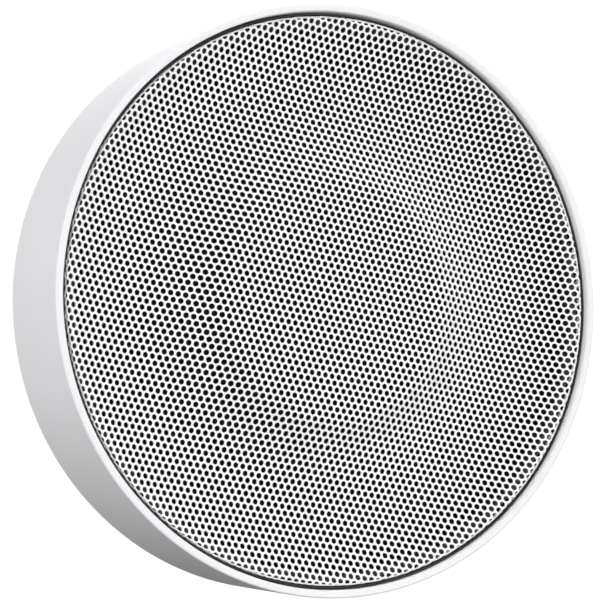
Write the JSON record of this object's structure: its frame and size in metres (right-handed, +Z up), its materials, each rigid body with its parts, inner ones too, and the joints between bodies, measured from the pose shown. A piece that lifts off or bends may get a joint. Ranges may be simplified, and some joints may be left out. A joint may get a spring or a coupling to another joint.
{
  "type": "smart speaker",
  "caption": "Low round wall speaker: white drum with a dished perforated metal grille, one driver and a microphone pair behind it, pulling off a magnetic wall plate.",
  "frame": {"origin": "centre of the adhesive pad's back face, on the wall", "axes": "+Z up, -Y out of the wall along the drum's axis towards the grille, +X to the right seen from the room"},
  "size_m": [0.12, 0.029, 0.12],
  "materials": {
    "shell_white": "satin",
    "cover_white": "fine matte texture",
    "grille_paint": "satin powder coat",
    "cloth_black": "open weave",
    "plastic_black": "matte",
    "cone_black": "satin",
    "rubber_black": "matte",
    "rubber_grey": "matte",
    "foam_dark": "closed-cell foam",
    "steel_zinc": "zinc plated",
    "steel_screw": "zinc plated",
    "steel_black": "black coat",
    "nickel": "nickel plated",
    "can_aluminium": "bare",
    "copper": "enamelled copper",
    "spider_cloth": "resin-dipped cloth",
    "board_green": "solder mask",
    "ferrite_dark": "matte",
    "clear_plastic": "clear",
    "plastic_cream": "satin",
    "wire_red": "satin",
    "wire_black": "satin"
  },
  "bodies": {
    "wall_mount": {"adhesive_pad": "foam_dark", "wall_plate": "steel_zinc"},
    "speaker": {"housing": "shell_white", "back_cover": "cover_white", "grille": "grille_paint", "acoustic_cloth": "cloth_black", "baffle": "plastic_black", "amplifier": "plastic_black", "pair_switch": "plastic_black", "mute_switch": "plastic_black", "mic_boot_left": "rubber_black", "mic_boot_right": "rubber_black", "grip_ring": "rubber_grey", "seal_ring": "foam_dark", "driver_gasket": "foam_dark", "top_plate": "steel_zinc", "yoke": "steel_zinc", "shield_can": "steel_zinc", "power_socket": "steel_zinc", "case_screw_1": "steel_screw", "case_screw_2": "steel_screw", "case_screw_3": "steel_screw", "case_screw_4": "steel_screw", "driver_screw_1": "steel_screw", "driver_screw_2": "steel_screw", "driver_screw_3": "steel_screw", "driver_screw_4": "steel_screw", "board_screw_1": "steel_screw", "board_screw_2": "steel_screw", "board_screw_3": "steel_screw", "basket": "steel_black", "hold_magnet_1": "nickel", "hold_magnet_2": "nickel", "hold_magnet_3": "nickel", "hold_magnet_4": "nickel", "driver_magnet": "nickel", "capacitor_1": "can_aluminium", "capacitor_2": "can_aluminium", "antenna": "copper", "main_board": "board_green", "mic_board_left": "board_green", "mic_board_right": "board_green", "light_board": "board_green", "choke": "ferrite_dark", "light_guide": "clear_plastic", "driver_terminal": "plastic_cream", "speaker_plug": "plastic_cream", "speaker_lead_red": "wire_red", "speaker_lead_black": "wire_black", "mic_cable_left": "wire_black", "mic_cable_right": "wire_black"},
    "moving_coil": {"cone": "cone_black", "dust_cap": "cone_black", "voice_coil": "copper", "surround": "rubber_black", "spider": "spider_cloth"},
    "pair_button": {"pair_button": "shell_white"},
    "mute_slider": {"mute_slider": "shell_white"}
  },
  "joints": [
    {"name": "speaker_release", "type": "slide", "parent": "wall_mount", "child": "speaker", "axis": [0, -1, 0], "range_m": [0, 0.02]},
    {"name": "cone_stroke", "type": "slide", "parent": "speaker", "child": "moving_coil", "axis": [0, -1, 0], "range_m": [-0.001, 0.001], "stiffness_N_per_m": 1000, "deforming": ["surround", "spider"]},
    {"name": "pair_button_press", "type": "slide", "parent": "speaker", "child": "pair_button", "axis": [-0.4226, 0, 0.9063], "range_m": [0, 0.0005], "stiffness_N_per_m": 2000},
    {"name": "mute_slide", "type": "slide", "parent": "speaker", "child": "mute_slider", "axis": [0.3746, 0, 0.9272], "range_m": [0, 0.0025]}
  ]
}
